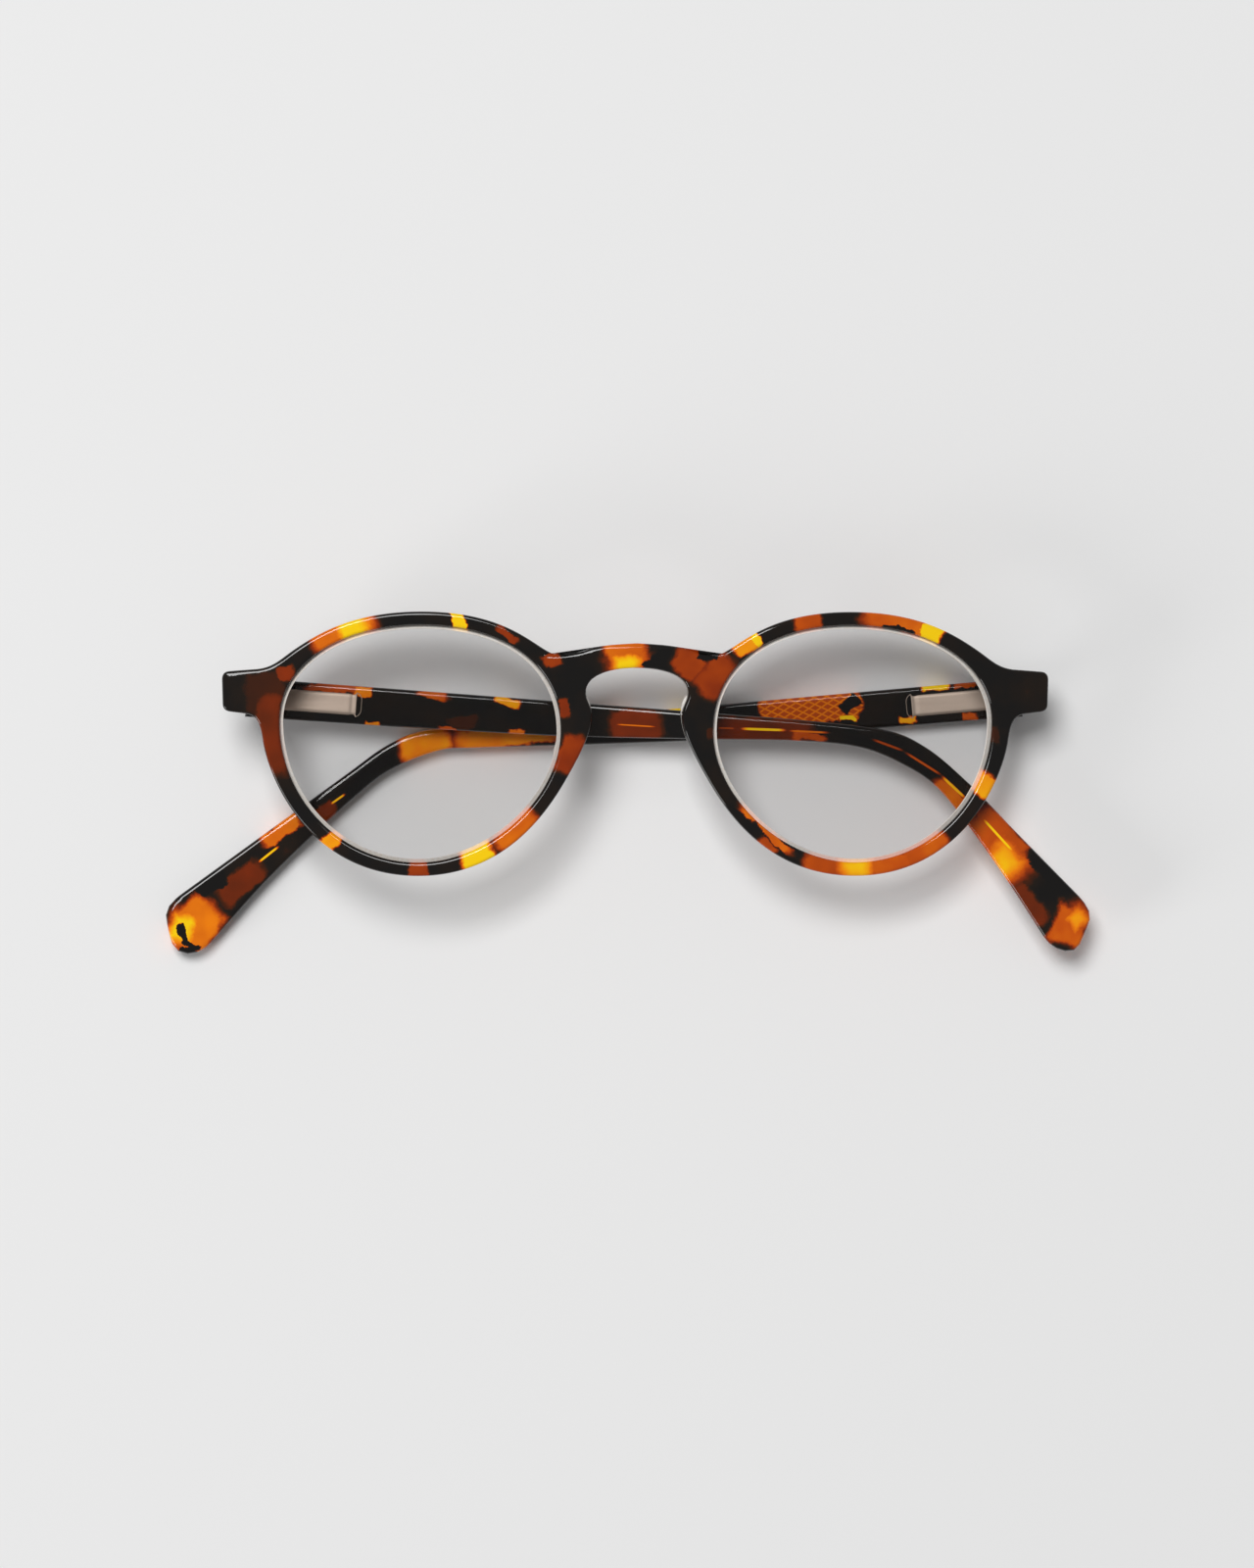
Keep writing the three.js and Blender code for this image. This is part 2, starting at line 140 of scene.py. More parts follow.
right_screw = np.array(joints["right_temple_fold"]["pos_m"])
left_screw = np.array(joints["left_temple_fold"]["pos_m"])
right_axis = unit(joints["right_temple_fold"]["axis"])
left_axis = -unit(joints["left_temple_fold"]["axis"])
front_x = unit(left_screw - right_screw)
front_z = unit(np.cross(left_axis, right_axis))
front_z = front_z if front_z[2] > 0 else -front_z
front_y = np.cross(front_z, front_x)
front_origin = (right_screw + left_screw) / 2 - (front_y * HINGE_HEIGHT - front_z * HINGE_BEHIND) * MM


def from_front(points):
    """Millimetres on the front's own axes to metres: the origin plus x, y and z times the axes."""
    return front_origin + np.asarray(points) * MM @ np.array([front_x, front_y, front_z])


def bezier(p0, p1, p2, p3, count):
    """Cubic Bezier: the four points weighted by (1-t)^3, 3t(1-t)^2, 3t^2(1-t) and t^3."""
    t = np.linspace(0, 1, count)[:, None]
    p0, p1, p2, p3 = (np.asarray(p, float) for p in (p0, p1, p2, p3))
    return (1 - t) ** 3 * p0 + 3 * t * (1 - t) ** 2 * p1 + 3 * t**2 * (1 - t) * p2 + t**3 * p3


def distance_to(points, lines):
    """Shortest distance from each point to some polylines, by the foot of the normal on each segment."""
    start = np.concatenate([line[:-1] for line in lines])
    step = np.concatenate([np.diff(line, axis=0) for line in lines])
    length2 = np.maximum((step**2).sum(1), 1e-12)
    best = np.full(len(points), np.inf)
    for piece in np.array_split(np.arange(len(start)), max(1, len(start) // 150)):
        gap = points[:, None] - start[piece]
        foot = np.clip((gap * step[piece]).sum(2) / length2[piece], 0, 1)
        near = np.linalg.norm(gap - foot[..., None] * step[piece], axis=2)
        best = np.minimum(best, near.min(1))
    return best


def edge_steps(width, radius, rounds=7, between=3):
    """Shares across a strip of the given width: cosine steps down each rounded edge, level between."""
    turn = radius * (1 - np.cos(np.linspace(0, math.pi / 2, rounds)))
    near = turn[None, :] / width[:, None]
    level = np.linspace(0, 1, between + 2)[None, 1:-1]
    inner = near[:, -1:] + (1 - 2 * near[:, -1:]) * level
    return np.concatenate([near, inner, 1 - near[:, ::-1]], 1)


def mesh_piece(name, points, quads, smooth=True):
    """A piece from points in metres. Its volume is the sum of the corners' triple products a x b . c
    and a x c . d; where that is negative, the faces are turned round so that they point outward."""
    points = np.asarray(points, float)
    quads = np.asarray(quads)
    a, b, c, d = (points[quads[:, k]] for k in range(4))
    volume = (np.cross(a, b) * c).sum() + (np.cross(a, c) * d).sum()
    quads = quads if volume > 0 else quads[:, ::-1]
    mesh = bpy.data.meshes.new(name)
    mesh.from_pydata(points.tolist(), [], quads.tolist())
    mesh.polygons.foreach_set("use_smooth", np.full(len(mesh.polygons), smooth))
    piece = bpy.data.objects.new(name, mesh)
    bpy.context.scene.collection.objects.link(piece)
    return piece


def grid_quads(rows, columns, loop_rows=False):
    """Corner numbers of the quads between neighbouring rows and columns of a grid, whose points are
    numbered row by row; with loop_rows the last row joins the first."""
    number = np.arange(rows * columns).reshape(rows, columns)
    after = np.roll(number, -1, 0) if loop_rows else number[1:]
    number = number if loop_rows else number[:-1]
    return np.stack([number[:, :-1], after[:, :-1], after[:, 1:], number[:, 1:]], -1).reshape(-1, 4)


def merged(piece, reach=1e-7):
    """Joins points of a piece that lie within reach of each other, where its sheets and walls meet."""
    work = bmesh.new()
    work.from_mesh(piece.data)
    bmesh.ops.remove_doubles(work, verts=work.verts, dist=reach)
    bmesh.ops.recalc_face_normals(work, faces=work.faces)
    work.to_mesh(piece.data)
    work.free()
    return piece


def slab(grid, edges, half, radius, loop_rows=False):
    """A flat sheet with rounded edges: over each point of the grid the surface stands at
    half - radius + sqrt(radius^2 - (radius - distance to the edge)^2), and the same below."""
    rows, columns = grid.shape[:2]
    flat = grid.reshape(-1, 2)
    on_edge_within = 2e-3
    inside = np.clip(distance_to(flat, edges), 0, radius)
    rise = half - radius + np.sqrt(np.maximum(radius**2 - (radius - inside) ** 2, 0))
    top = np.column_stack([flat, rise])
    bottom = np.column_stack([flat, -rise])
    quads = grid_quads(rows, columns, loop_rows)
    count = rows * columns
    number = np.arange(count).reshape(rows, columns)
    rims = [number[:, 0], number[::-1, -1]]
    if loop_rows:
        rims = [np.append(rim, rim[0]) for rim in rims]
    else:
        rims += [number[0, ::-1], number[-1, :]]
    walls = []
    for rim in rims:
        on_edge = inside[rim] < on_edge_within
        wall = np.stack([rim[:-1], rim[1:], rim[1:] + count, rim[:-1] + count], 1)
        walls.append(wall[on_edge[:-1] & on_edge[1:]])
    return np.concatenate([top, bottom]), np.concatenate([quads, quads[:, ::-1] + count, *walls])


# The acetate sheet is pressed from blocks of black, rust, amber and yellow. One number per point,
# how clear the sheet is there, runs from 0, black, to 1, clear yellow.
def tortoise(name, patches, painted_wire_glints=(), knurl=None):
    """Patches are (x, y, half width, half length, turn, clearness): rounded oblongs in mm and degrees
    on the front's axes, with edges shifted by noise. A clearness of 0 cuts back to black, and a
    seventh value, "soft", lets a patch fade from its middle. Wire glints are (x0, y0, x1, y1, half
    width, clearness): thin straight lighter lines where the core wire inside shows through, partly
    the wire's own colour and partly a painted highlight of its glint. knurl is a patch crossed by
    diamond lines, the wire's knurling, whose lighter lines are a painted highlight.
    The clearness at a point is the largest of all that reach it."""
    made, tree, shader = principled(name, Roughness=0.06, IOR=1.40, Coat_Weight=0.1, Coat_Roughness=0.02)
    nodes, links = tree.nodes, tree.links
    place = nodes.new("ShaderNodeTexCoord").outputs["Object"]

    def noise(scale, detail, roughness=0.5):
        """Cloudy noise through the material."""
        made_noise = nodes.new("ShaderNodeTexNoise")
        made_noise.inputs["Scale"].default_value = scale
        made_noise.inputs["Detail"].default_value = detail
        made_noise.inputs["Roughness"].default_value = roughness
        links.new(place, made_noise.inputs["Vector"])
        return made_noise

    def vector_math(operation, first, second):
        """One sum on vectors."""
        made_math = nodes.new("ShaderNodeVectorMath")
        made_math.operation = operation
        links.new(first, made_math.inputs[0])
        if operation == "SCALE":
            made_math.inputs["Scale"].default_value = second
        elif isinstance(second, tuple):
            made_math.inputs[1].default_value = second
        else:
            links.new(second, made_math.inputs[1])
        return made_math.outputs[0]

    def scalar_math(operation, first, second):
        """One sum on numbers; a float is a set value and anything else is a socket."""
        made_math = nodes.new("ShaderNodeMath")
        made_math.operation = operation
        for socket, value in zip(made_math.inputs, (first, second)):
            if isinstance(value, float):
                socket.default_value = value
            else:
                links.new(value, socket)
        return made_math.outputs[0]

    ragged_edge = 3.2 * MM
    centred = vector_math("SUBTRACT", noise(260.0, 5.0, 0.62).outputs["Color"], (0.5, 0.5, 0.5))
    warped = vector_math("ADD", place, vector_math("SCALE", centred, ragged_edge))
    tone_spread, tone_least = 0.36, 0.82
    tone = scalar_math("MULTIPLY_ADD", noise(200.0, 2.0).outputs["Fac"], tone_spread)
    tone.node.inputs[2].default_value = tone_least

    def mask(source, x, y, half_width, half_length, turn, outer, inner, at_outer, at_inner):
        """Reach is 3/4 of the larger of |x| and |y|, in half sizes of the patch, and 1/4 of the
        distance from its middle; the mask eases from at_outer to at_inner between two reaches."""
        local = nodes.new("ShaderNodeMapping")
        local.vector_type = "TEXTURE"
        local.inputs["Location"].default_value = tuple(from_front([x, y, 0]))
        local.inputs["Rotation"].default_value = (0, 0, math.radians(turn))
        local.inputs["Scale"].default_value = (half_length * MM, half_width * MM, 1.0)
        links.new(source, local.inputs["Vector"])
        length = nodes.new("ShaderNodeVectorMath")
        length.operation = "LENGTH"
        links.new(local.outputs[0], length.inputs[0])
        apart = nodes.new("ShaderNodeSeparateXYZ")
        links.new(vector_math("ABSOLUTE", local.outputs[0], (0.0, 0.0, 0.0)), apart.inputs[0])
        square = scalar_math("MAXIMUM", apart.outputs["X"], apart.outputs["Y"])
        reach = scalar_math("MULTIPLY_ADD", square, 0.75)
        links.new(scalar_math("MULTIPLY", length.outputs["Value"], 0.25), reach.node.inputs[2])
        edge = nodes.new("ShaderNodeMapRange")
        edge.interpolation_type = "SMOOTHSTEP"
        edge.inputs["From Min"].default_value = outer
        edge.inputs["From Max"].default_value = inner
        edge.inputs["To Min"].default_value = at_outer
        edge.inputs["To Max"].default_value = at_inner
        links.new(reach, edge.inputs["Value"])
        return edge.outputs["Result"]

    base = nodes.new("ShaderNodeMapRange")
    base.inputs["From Min"].default_value = 0.42
    base.inputs["From Max"].default_value = 0.75
    base.inputs["To Max"].default_value = 0.22
    links.new(noise(160.0, 3.0).outputs["Fac"], base.inputs["Value"])
    clearness = base.outputs["Result"]
    if knurl is not None:
        # The knurl: the core wire's diamond knurling showing through the acetate. The wire's own colour
        # is the unlit value, and its lit lines are a painted highlight.
        diamond_lean, line_scale, lit_line, unlit = 29, 330.0, 0.18, 0.58
        x, y, half_width, half_length, turn = knurl
        zone = mask(warped, x, y, half_width, half_length, turn, 1.06, 0.96, 0.0, 1.0)
        crossing = None
        for lean in (diamond_lean, -diamond_lean):
            turned = nodes.new("ShaderNodeMapping")
            turned.inputs["Rotation"].default_value = (0, 0, math.radians(lean - turn))
            links.new(place, turned.inputs["Vector"])
            ridges = nodes.new("ShaderNodeTexWave")
            ridges.bands_direction = "Y"
            ridges.inputs["Scale"].default_value = line_scale
            links.new(turned.outputs[0], ridges.inputs["Vector"])
            ridge = nodes.new("ShaderNodeMapRange")
            ridge.inputs["From Min"].default_value = 0.72
            ridge.inputs["From Max"].default_value = 1.0
            links.new(ridges.outputs["Fac"], ridge.inputs["Value"])
            line = ridge.outputs["Result"]
            crossing = line if crossing is None else scalar_math("MAXIMUM", crossing, line)
        lit = scalar_math("MULTIPLY_ADD", crossing, lit_line)
        lit.node.inputs[2].default_value = unlit
        clearness = scalar_math("MAXIMUM", clearness, scalar_math("MULTIPLY", zone, lit))
    for x, y, half_width, half_length, turn, clear, *soft in patches:
        if clear > 0:
            outer, inner = (1.35, 0.10) if soft else (1.08, 0.62)
            here = mask(warped, x, y, half_width, half_length, turn, outer, inner, 0.0, clear)
            clearness = scalar_math("MAXIMUM", clearness, scalar_math("MULTIPLY", here, tone))
        else:
            here = mask(warped, x, y, half_width, half_length, turn, 1.08, 0.90, 1.0, 0.0)
            clearness = scalar_math("MULTIPLY", clearness, here)
    # Painted highlight: each wire glint lifts the clearness along a thin line, the core wire showing
    # through with its shine painted in.
    for x0, y0, x1, y1, half_width, clear in painted_wire_glints:
        turn = math.degrees(math.atan2(y1 - y0, x1 - x0))
        half_length = math.hypot(x1 - x0, y1 - y0) / 2
        x, y = (x0 + x1) / 2, (y0 + y1) / 2
        here = mask(place, x, y, half_width, half_length, turn, 1.1, 0.5, 0.0, clear)
        clearness = scalar_math("MAXIMUM", clearness, here)

    tint = nodes.new("ShaderNodeValToRGB")
    stops = [
        (0.00, (0.0060, 0.0052, 0.0048)),
        (0.18, (0.0130, 0.0075, 0.0045)),
        (0.32, (0.0600, 0.0110, 0.0012)),
        (0.48, (0.2500, 0.0260, 0.0006)),
        (0.62, (0.5600, 0.0800, 0.0006)),
        (0.76, (0.8600, 0.2100, 0.0008)),
        (0.90, (0.9400, 0.4300, 0.0010)),
        (1.00, (0.9600, 0.6200, 0.0020)),
    ]
    while len(tint.color_ramp.elements) < len(stops):
        tint.color_ramp.elements.new(0.5)
    for element, (position, colour) in zip(tint.color_ramp.elements, stops):
        element.position = position
        element.color = (*colour, 1)
    links.new(clearness, tint.inputs["Fac"])
    links.new(tint.outputs["Color"], shader.inputs["Base Color"])
    return made


FRONT_PATCHES = [
    (-57.3, 8.0, 4.2, 4.2, 0, 0.27),
    (-53.9, 10.9, 1.5, 1.8, 20, 0.44),
    (-55.9, 1.5, 2.8, 8.2, 100, 0.40),
    (-45.2, 17.5, 3.4, 6.6, 22, 0.68),
    (-43.8, 17.9, 4.4, 4.4, 20, 1.10, "soft"),
    (-27.5, 18.9, 3.0, 1.3, 8, 1.08),
    (-19.6, 16.9, 0.9, 2.6, -35, 0.50),
    (-12.8, 12.9, 1.3, 1.9, 30, 0.52),
    (-10.9, 5.4, 1.0, 1.9, 90, 0.46),
    (-9.9, -1.6, 2.8, 3.9, 76, 0.50),
    (-17.9, -13.6, 3.0, 5.0, 47, 0.66),
    (-24.0, -17.7, 3.0, 3.4, 22, 1.08),
    (-33.5, -19.5, 3.0, 2.0, 0, 0.50),
    (-47.3, -15.1, 3.0, 1.6, -48, 0.84),
    (-1.3, 13.6, 3.4, 4.2, 8, 0.66),
    (-1.2, 12.0, 3.0, 4.4, 0, 1.06, "soft"),
    (4.0, 12.4, 2.0, 2.3, 50, 0.0),
    (8.4, 12.6, 3.0, 2.9, -40, 0.52),
    (12.6, 10.6, 3.4, 4.6, 45, 0.50),
    (11.3, 14.4, 1.0, 1.8, -10, 0.0),
    (17.0, 15.2, 1.6, 2.4, 36, 0.80),
    (18.6, 16.0, 1.2, 0.9, 36, 0.98),
    (26.6, 18.7, 3.0, 2.6, 12, 0.60),
    (40.4, 18.9, 3.0, 6.4, -9, 0.66),
    (46.0, 17.5, 3.0, 2.1, -25, 1.06),
    (41.0, 17.7, 0.45, 2.3, -8, 0.0),
    (11.6, 1.8, 0.8, 1.3, 90, 0.30),
    (20.2, -13.2, 0.75, 7.2, -42, 0.68),
    (20.3, -15.6, 1.2, 2.2, -42, 0.58),
    (29.5, -18.9, 3.0, 4.2, -10, 0.58),
    (34.3, -19.5, 4.6, 5.2, 0, 0.92, "soft"),
    (39.9, -19.0, 3.0, 4.2, 8, 0.64),
    (45.0, -16.7, 3.0, 4.9, 32, 0.62),
    (54.8, -6.5, 3.0, 2.4, 60, 0.82),
    (55.6, 1.2, 1.0, 1.8, 90, 0.25),
]
front_acetate = tortoise("tortoise_acetate_front", FRONT_PATCHES)


def bent_to_face(points):
    """The front's curve: adds FACE_CURVE times (1 - (x / half width)^2) to each height."""
    points = np.array(points, float)
    points[:, 2] += FACE_CURVE * (1 - (points[:, 0] / FRONT_HALF_WIDTH) ** 2)
    return points


def lens_outline(grown, count):
    """The lens's edge in four quarters from the bridge side over the top, each a Bezier quarter whose
    fullness is the share of its corner that the handles reach."""
    nasal = np.array([LENS_CENTRE - 21.5 - grown, 2.0])
    top = np.array([LENS_CENTRE, 18.4 + grown])
    temporal = np.array([LENS_CENTRE + 21.9 + grown, 3.5])
    foot = np.array([LENS_CENTRE + 0.5, -18.3 - grown])

    def quarter(a, b, fullness, starts_level):
        first = np.array([b[0], a[1]]) if starts_level else np.array([a[0], b[1]])
        return bezier(a, a + (first - a) * fullness, b + (first - b) * fullness, b, count)

    return [
        quarter(nasal, top, 0.613, False),
        quarter(top, temporal, 0.584, True),
        quarter(temporal, foot, 0.552, False),
        quarter(foot, nasal, 0.503, True),
    ]


# The outline of one half, from the top of the bridge round the end piece to the bridge's underside,
# with the share of the lens's edge that each stretch stands over.
OUTLINE = [
    [(0, 15.55), (1.3, 15.5), (2.7, 15.4), (4.0, 15.3)],
    [(4.0, 15.3), (8.0, 14.9), (9.0, 13.75), (12.0, 13.75)],
    [(12.0, 13.75), (15.2, 13.75), (18.5, 20.45), (33.3, 20.45)],
    [(33.3, 20.45), (43.5, 20.45), (49.0, 17.3), (53.2, 14.4)],
    [(53.2, 14.4), (55.3, 12.9), (56.2, 11.9), (58.6, 11.6)],
    [(58.6, 11.6), (60.0, 11.5), (61.5, 11.4), (62.9, 11.28)],
    [(62.9, 11.28), (63.7, 11.24), (64.1, 10.8), (64.1, 10.0)],
    [(64.1, 10.0), (64.07, 8.8), (64.03, 7.5), (64.0, 6.3)],
    [(64.0, 6.3), (64.0, 5.5), (63.6, 5.1), (62.8, 5.0)],
    [(62.8, 5.0), (62.0, 4.9), (61.2, 4.8), (60.4, 4.7)],
    [(60.4, 4.7), (58.6, 4.4), (58.2, 3.2), (57.8, 0.6)],
    [(57.8, 0.6), (56.9, -5.5), (50.5, -20.4), (33.8, -20.4)],
    [(33.8, -20.4), (21.0, -20.4), (14.5, -11.5), (11.3, -6.1)],
    [(11.3, -6.1), (8.9, -2.0), (7.0, 1.6), (7.0, 4.5)],
    [(7.0, 4.5), (7.0, 6.0), (7.9, 6.6), (7.9, 8.0)],
    [(7.9, 8.0), (7.9, 10.4), (4.6, 11.75), (0, 11.75)],
]
OVER_LENS = [0.44, 0.46, 0.50, 1.0, 1.60, 1.74, 1.81, 1.83, 1.88]
OVER_LENS += [1.91, 1.95, 2.12, 3.0, 3.72, 4.12, 4.22, 4.40]
STRETCH_ROWS = [10, 26, 60, 56, 20, 14, 10, 12, 10, 8, 20, 84, 60, 34, 18, 30]
SEAM_ROWS = 12


def lens_edge_at(turns, grown):
    """The lens's edge at each position counted in quarters, taken round again past four: straight
    steps between the points of that quarter's curve."""
    quarters = lens_outline(grown, count=400)
    turns = np.asarray(turns) % 4
    out = np.empty((len(turns), 2))
    for number, line in enumerate(quarters):
        chosen = turns.astype(int) == number
        at = (turns[chosen] - number) * (len(line) - 1)
        steps = np.arange(len(line))
        out[chosen] = np.stack([np.interp(at, steps, line[:, k]) for k in range(2)], 1)
    return out


def front_half():
    """One half of the flat front as a grid, with its two edges: each row runs straight from a point
    of the lens opening to a point of the outline, and closes along the seam at x = 0."""
    outer = [bezier(*stretch, rows + 1)[:-1] for stretch, rows in zip(OUTLINE, STRETCH_ROWS)]
    spans = zip(OVER_LENS[:-1], OVER_LENS[1:], STRETCH_ROWS)
    over = [np.linspace(a, b, rows + 1)[:-1] for a, b, rows in spans]
    seam = np.linspace(OUTLINE[-1][-1], OUTLINE[0][0], SEAM_ROWS + 1)[:-1]
    outer = np.concatenate([*outer, seam])
    over = np.concatenate([*over, np.linspace(OVER_LENS[-1], 4.0 + OVER_LENS[0], SEAM_ROWS + 1)[:-1]])
    inner = lens_edge_at(over, 0.0)
    width = np.linalg.norm(outer - inner, axis=1)
    share = edge_steps(width, FRONT_EDGE, rounds=7, between=12)
    grid = inner[:, None] + (outer - inner)[:, None] * share[..., None]
    opening = lens_edge_at(np.linspace(0, 4, 1200, endpoint=False), 0.0)
    outline = np.concatenate([bezier(*stretch, 90) for stretch in OUTLINE])
    return grid, opening, outline


def front_frame():
    """Both halves of the front: a slab from each half's grid, one with x turned round, joined where
    they meet at x = 0 and bent to the face."""
    grid, opening, outline = front_half()
    halves = []
    for sign in (1, -1):
        turned = grid * (sign, 1)
        edges = [np.append(opening, opening[:1], 0) * (sign, 1), outline * (sign, 1)]
        halves.append(slab(turned, edges, FRONT_THICKNESS / 2, FRONT_EDGE, loop_rows=True))
    points = np.concatenate([half[0] for half in halves])
    quads = np.concatenate([halves[0][1], halves[1][1] + len(halves[0][0])])
    points[:, 2] += FRONT_THICKNESS / 2
    return merged(mesh_piece("front_acetate", from_front(bent_to_face(points)), quads))


front = front_frame()
front.data.materials.append(front_acetate)
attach(front, "front")
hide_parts("front_frame")

# ---------------------------------------------------------------------------------------------
# Temples: 3.7 mm acetate bars, straight to the bend and then down to the paddle tips, tumbled
# smooth, with a thin knurled core wire inside. The wire itself is hidden; where the acetate is clear,
# its gold and its glints are painted into the acetate's colour, partly the wire's own colour and
# partly painted highlight.
TEMPLE_INNER = -2.5
TEMPLE_THICK = 3.7
TEMPLE_BUTT = -2.85
TEMPLE_TOP = 2.95
TEMPLE_FOOT = -3.15
TEMPLE_EDGE = 0.6
TEMPLE_LENGTH = 131.0
TEMPLE_HEIGHT = 5.8
LOWER_RUN = [(20, -2.95), (45.7, -2.45), (66, -1.4), (83, -0.4)]
TAILS = {
    "right": {
        "upper": [
            (82, 2.95), (96.2, 2.45), (103.3, 0.25),
            (110.7, -5.0), (119.0, -12.35), (129.0, -21.1),
        ],
        "lower": [
            (93.2, -0.65), (100.4, -2.9), (105.8, -6.0),
            (111.2, -11.7), (117.2, -18.9), (124.0, -27.8),
        ],
        "tip": [
            [(124.0, -27.8), (125.1, -29.2), (126.0, -29.7), (127.3, -29.9)],
            [(127.3, -29.9), (128.8, -30.2), (129.6, -29.6), (130.0, -28.4)],
            [(130.0, -28.4), (130.33, -27.4), (130.67, -26.4), (131.0, -25.4)],
            [(131.0, -25.4), (131.5, -23.8), (130.7, -22.7), (129.0, -21.1)],
        ],
    },
    "left": {
        "upper": [
            (82, 2.95), (91.0, 3.0), (96.9, 1.2),
            (103.4, -2.6), (113.4, -8.6), (130.5, -18.8),
        ],
        "lower": [
            (89.0, -0.35), (96.8, -2.7), (102.9, -6.6),
            (110.3, -12.3), (118.4, -19.0), (126.6, -26.7),
        ],
        "tip": [
            [(126.6, -26.7), (127.9, -27.9), (129.0, -28.6), (130.5, -28.6)],
            [(130.5, -28.6), (132.0, -28.6), (133.1, -27.8), (133.4, -25.9)],
            [(133.4, -25.9), (133.53, -24.9), (133.67, -23.9), (133.8, -22.9)],
            [(133.8, -22.9), (133.9, -21.1), (132.7, -20.1), (130.5, -18.8)],
        ],
    },
}


def from_temple(side, points):
    """Millimetres along a temple, up it and out of its inner face to metres: the screw's place plus
    each of them times its axis. Along is the spring's travel, turned to point away from the hinge."""
    sign = 1 if side == "right" else -1
    screw, axis = (right_screw, right_axis) if side == "right" else (left_screw, left_axis)
    along = unit(joints[f"{side}_spring_travel"]["axis"])
    along = along if along @ (left_screw - right_screw) * sign > 0 else -along
    outward = np.cross(along, axis) if side == "right" else np.cross(axis, along)
    return screw + np.asarray(points) * MM @ np.array([along, axis, outward])


def resampled(line, shares):
    """Points of a polyline at the given shares of its length."""
    line = np.asarray(line, float)
    run = np.concatenate([[0], np.cumsum(np.linalg.norm(np.diff(line, axis=0), axis=1))])
    at = np.asarray(shares) * run[-1]
    return np.stack([np.interp(at, run, line[:, k]) for k in range(line.shape[1])], 1)


def catmull_rom(points, count):
    """A curve through the points: between two of them a cubic whose end slopes are half the step
    between their neighbours."""
    points = np.asarray(points, float)
    p0 = points[np.maximum(np.arange(len(points) - 1) - 1, 0)]
    p3 = points[np.minimum(np.arange(len(points) - 1) + 2, len(points) - 1)]
    t = np.linspace(0, 1, count, endpoint=False)[None, :, None]
    p1, p2 = points[:-1, None], points[1:, None]
    v1, v2 = (p2 - p0[:, None]) / 2, (p3[:, None] - p1) / 2
    curve = (2 * p1 - 2 * p2 + v1 + v2) * t**3 + (3 * p2 - 3 * p1 - 2 * v1 - v2) * t**2 + v1 * t + p1
    return np.concatenate([curve.reshape(-1, 2), points[-1:]])


def temple_lines(side):
    """A temple's upper and lower edges, from the hinge outward, and its tip, from the lower edge up."""
    tail = TAILS[side]
    upper = np.concatenate([[(TEMPLE_BUTT, TEMPLE_TOP)], catmull_rom(tail["upper"], 24)])
    lower = np.concatenate([[(TEMPLE_BUTT, TEMPLE_FOOT)], catmull_rom(LOWER_RUN + tail["lower"], 24)])
    tip = np.concatenate([bezier(*arc, 16)[:-1] for arc in tail["tip"]] + [upper[-1:]])
    return upper, lower, tip


def temple_bar(side):
    """A temple as a grid: row i runs straight from the point at share i of the upper edge's length to
    the point at the same share of the lower edge, and the last rows move evenly on to the tip's arc."""
    upper, lower, tip = temple_lines(side)
    turn = TEMPLE_EDGE * (1 - np.cos(np.linspace(0, math.pi / 2, 7))) / TEMPLE_LENGTH
    along = np.concatenate([turn, np.linspace(turn[-1], 1, 330)[1:]])
    top = resampled(upper, along)
    foot = resampled(lower, along)
    width = np.full(len(along), TEMPLE_HEIGHT)
    share = edge_steps(width, TEMPLE_EDGE, rounds=7, between=8)
    grid = top[:, None] + (foot - top)[:, None] * share[..., None]
    # The tip's arc carries on from the last straight row in rows of its own.
    end_row = resampled(tip[::-1], share[-1])
    level = np.linspace(0, 1, 16)[1:-1]
    rounded = 1 - 0.13 * np.cos(np.linspace(0, math.pi / 2, 7))[1:]
    fill = np.concatenate([level, rounded])
    fill = np.sort(np.unique(np.round(fill, 5)))
    last = grid[-1]
    tip_rows = last[None] + (end_row - last)[None] * fill[:, None, None]
    grid = np.concatenate([grid, tip_rows])
    butt = np.array([[TEMPLE_BUTT, TEMPLE_TOP], [TEMPLE_BUTT, TEMPLE_FOOT]])
    points, quads = slab(grid, [upper, lower, tip, butt], TEMPLE_THICK / 2, TEMPLE_EDGE)
    points[:, 2] += TEMPLE_INNER - TEMPLE_THICK / 2
    return merged(mesh_piece(f"{side}_temple_acetate", from_temple(side, points), quads))


RIGHT_PATCHES = [
    (-47.0, 8.85, 0.8, 6.0, -4.35, 0.58),
    (-42.6, 8.3, 0.9, 2.0, -4.35, 0.78),
    (-31.7, 7.6, 0.7, 3.2, -6, 0.62),
    (-19.8, 6.9, 1.1, 2.5, -14, 0.90),
    (-41.5, 3.1, 0.5, 1.5, -4, 0.78),
    (-27.0, 3.6, 1.2, 3.2, -4, 0.27),
    (-29.2, 2.4, 0.5, 2.4, -8, 0.62),
    (-18.5, 1.6, 0.8, 1.4, -4, 0.70),
    (0.0, 2.8, 3.4, 5.4, -4.35, 0.40),
    (6.5, 3.2, 1.4, 2.0, 60, 0.0),
    (20.0, 1.9, 3.2, 10.2, -4.35, 0.38),
    (27.0, 1.4, 0.9, 3.2, -6, 0.58),
    (48.9, -7.9, 1.6, 3.8, -47, 0.66),
    (56.6, -14.6, 3.6, 6.6, -48, 0.60),
    (57.9, -17.8, 4.2, 5.8, -50, 0.88, "soft"),
    (66.6, -19.9, 2.6, 6.0, -43, 0.0),
    (61.0, -25.2, 2.6, 4.6, -52, 0.40),
    (67.8, -28.4, 4.0, 3.6, -20, 0.64),
    (69.2, -27.2, 3.2, 3.6, 40, 0.86, "soft"),
    (65.2, -30.2, 1.2, 1.6, 30, 0.44),
]
